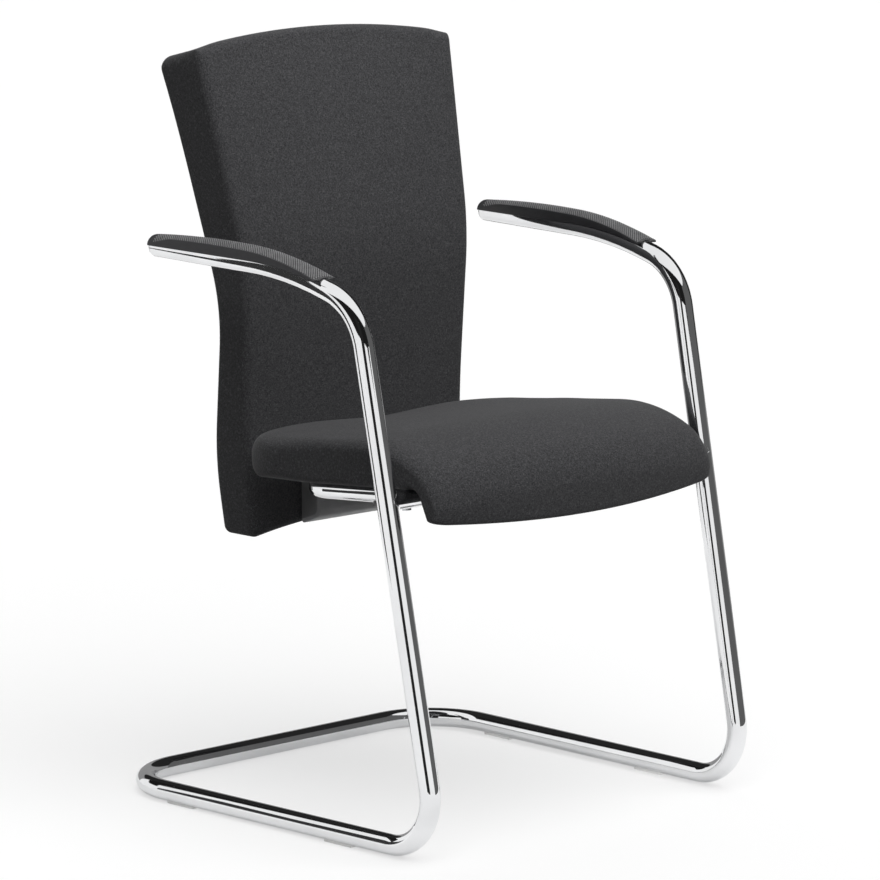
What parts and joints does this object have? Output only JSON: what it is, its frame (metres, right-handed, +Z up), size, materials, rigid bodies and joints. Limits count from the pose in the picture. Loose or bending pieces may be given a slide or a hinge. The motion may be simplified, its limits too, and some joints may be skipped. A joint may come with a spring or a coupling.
{
  "type": "cantilever visitor chair",
  "caption": "Cantilever visitor chair: one bent tube frame with arm pads carries a waterfall-front upholstered seat and a tall S-curved upholstered back.",
  "frame": {"origin": "on the floor, under the middle of the overall width and depth", "axes": "+Z up, -Y forwards (the way the sitter faces), +X to the sitter's left"},
  "size_m": [0.5934, 0.582, 0.9458],
  "materials": {
    "chrome_tube": "polished",
    "pad_plastic": "fine ribbed, matt",
    "glide_plastic": "natural nylon, matt",
    "cover_plastic": "satin moulded",
    "black_steel": "powder coated",
    "zinc_steel": "zinc plated",
    "plywood": "raw",
    "charcoal_fabric": "fine woven"
  },
  "bodies": {
    "root": {"frame_tube": "chrome_tube", "right_arm_pad": "pad_plastic", "left_arm_pad": "pad_plastic", "right_arm_end_plug": "chrome_tube", "left_arm_end_plug": "chrome_tube", "arm_pad_screws": "zinc_steel", "front_right_glide": "glide_plastic", "rear_right_glide": "glide_plastic", "front_left_glide": "glide_plastic", "rear_left_glide": "glide_plastic", "front_cross_tube": "chrome_tube", "seat_carrier": "chrome_tube", "seat_board": "plywood", "seat_underside_cover": "cover_plastic", "seat_tee_nuts": "zinc_steel", "bracket_tee_nuts": "zinc_steel", "seat_saddle_washers": "cover_plastic", "seat_screws": "zinc_steel", "bracket_screws": "zinc_steel", "seat_cushion": "charcoal_fabric", "back_bracket": "black_steel", "back_shell": "plywood", "back_tee_nuts": "zinc_steel", "back_screws": "zinc_steel", "back_cushion": "charcoal_fabric", "bracket_cover": "cover_plastic", "bracket_cover_screws": "zinc_steel"}
  },
  "joints": []
}
